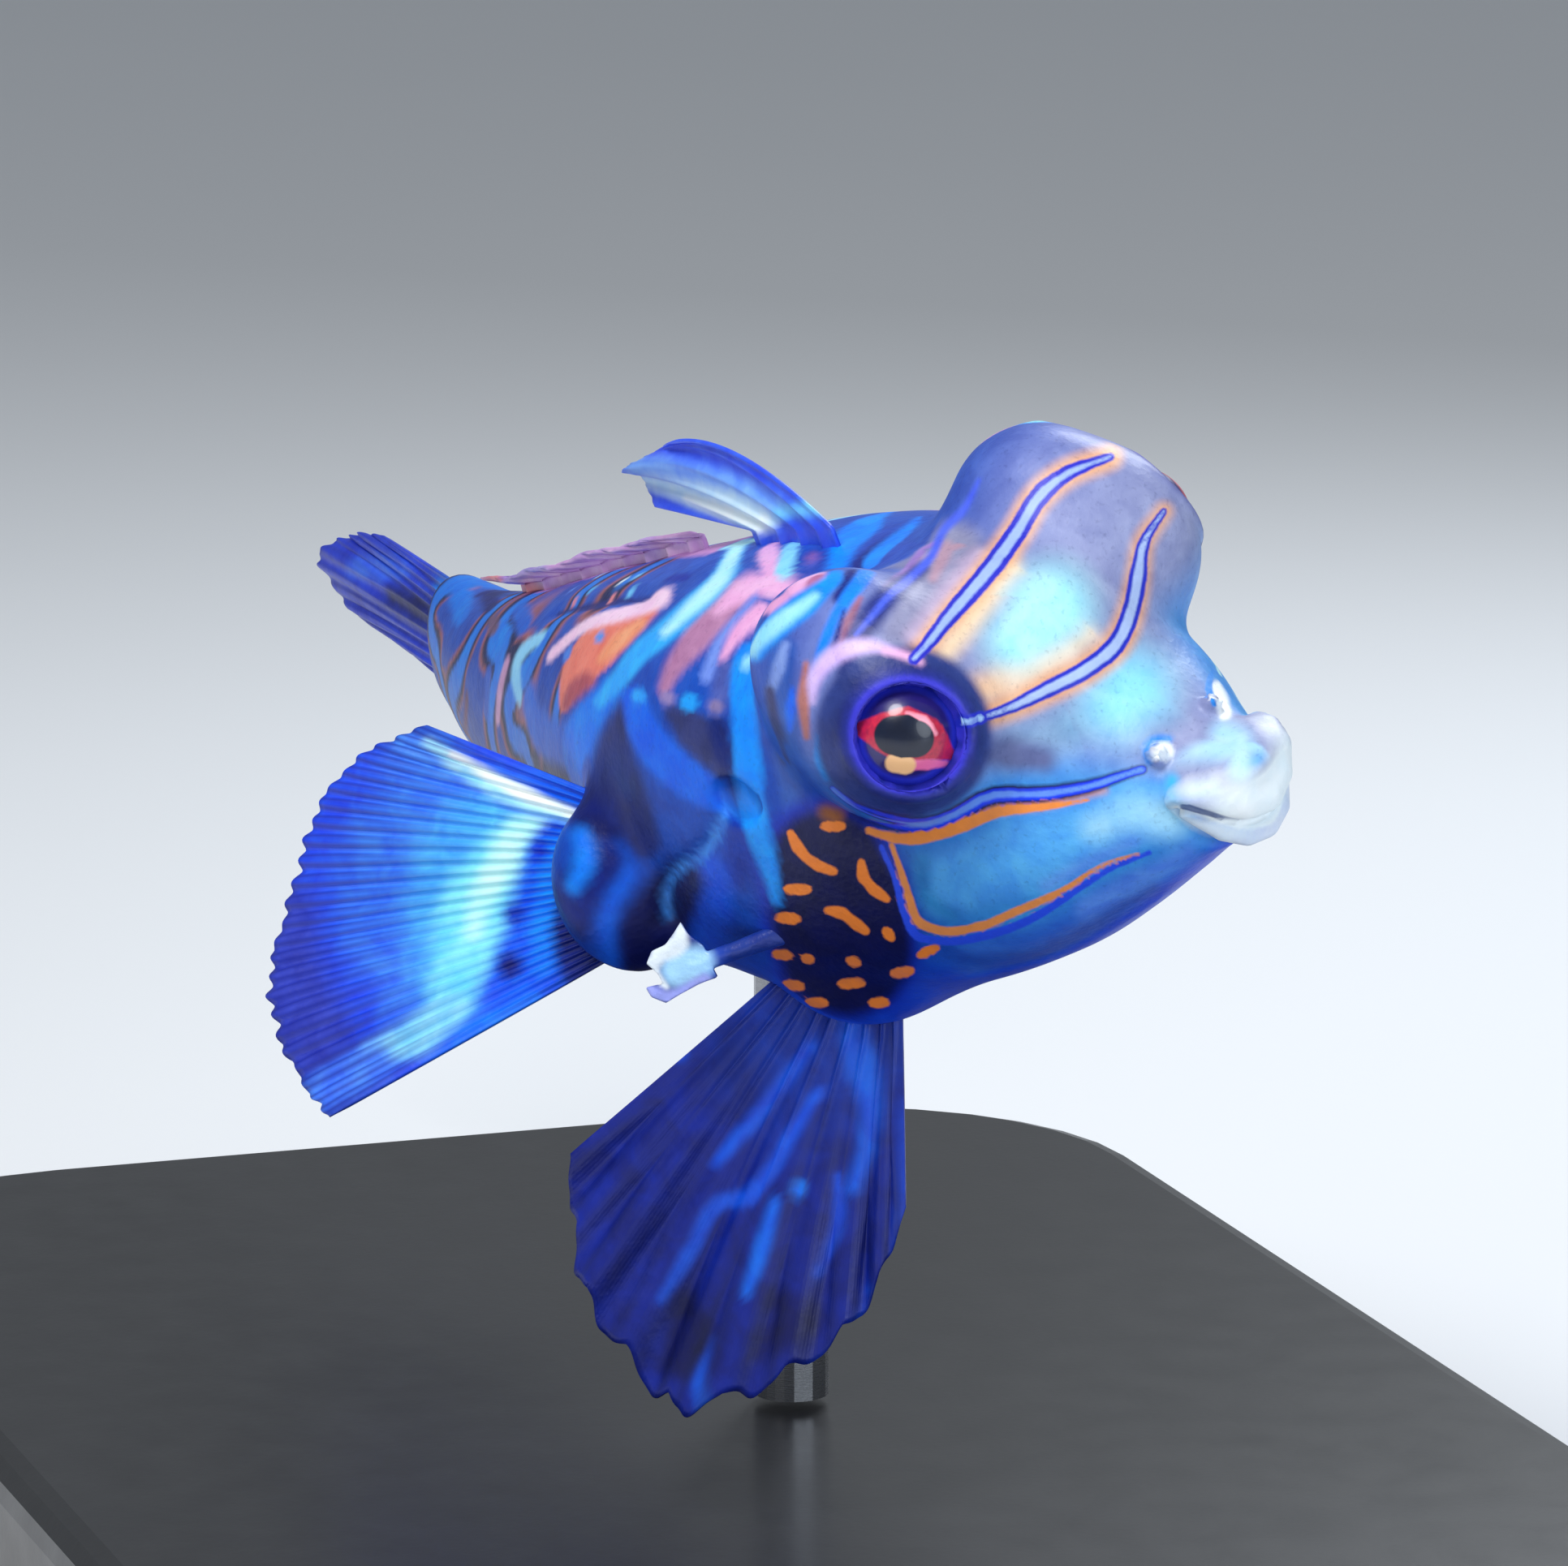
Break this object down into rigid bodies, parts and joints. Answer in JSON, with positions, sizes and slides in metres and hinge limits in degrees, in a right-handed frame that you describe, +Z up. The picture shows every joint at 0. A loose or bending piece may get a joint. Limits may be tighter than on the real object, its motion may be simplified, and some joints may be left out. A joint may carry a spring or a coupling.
{
  "type": "mandarinfish model",
  "caption": "Small reef fish with bulging eyes, fanned fins and blue and orange wavy bands, as a still life-size model banked on a flat stand.",
  "frame": {"origin": "centre of the stand's underside", "axes": "+X along the trunk towards the head, +Y to the fish's left, +Z up"},
  "size_m": [0.078, 0.044, 0.0359],
  "materials": {
    "skin": "glossy cast resin, hand-painted in wavy azure, navy, orange and pale cyan bands",
    "lips": "glossy cast resin, painted near white with a cool tint",
    "eyes": "clear glossy eye with a red iris, blue rim and near-black pupil",
    "fins": "thin tinted resin with raised rays, painted royal blue to pale cyan",
    "stand": "satin black plate with rounded edges",
    "rod": "fine brushed steel rod"
  },
  "bodies": {
    "root": {"head": "skin", "trunk": "skin", "tail_stem": "skin", "upper_lip": "lips", "lower_lip": "lips", "gill_spine_left": "lips", "gill_spine_right": "lips", "eye_left": "eyes", "eye_right": "eyes", "first_dorsal_fin": "fins", "second_dorsal_fin": "fins", "anal_fin": "fins", "caudal_fin": "fins", "pectoral_fin_left": "fins", "pectoral_fin_right": "fins", "pelvic_fin_left": "fins", "pelvic_fin_right": "fins", "stand_base": "stand", "stand_rod": "rod"}
  },
  "joints": []
}
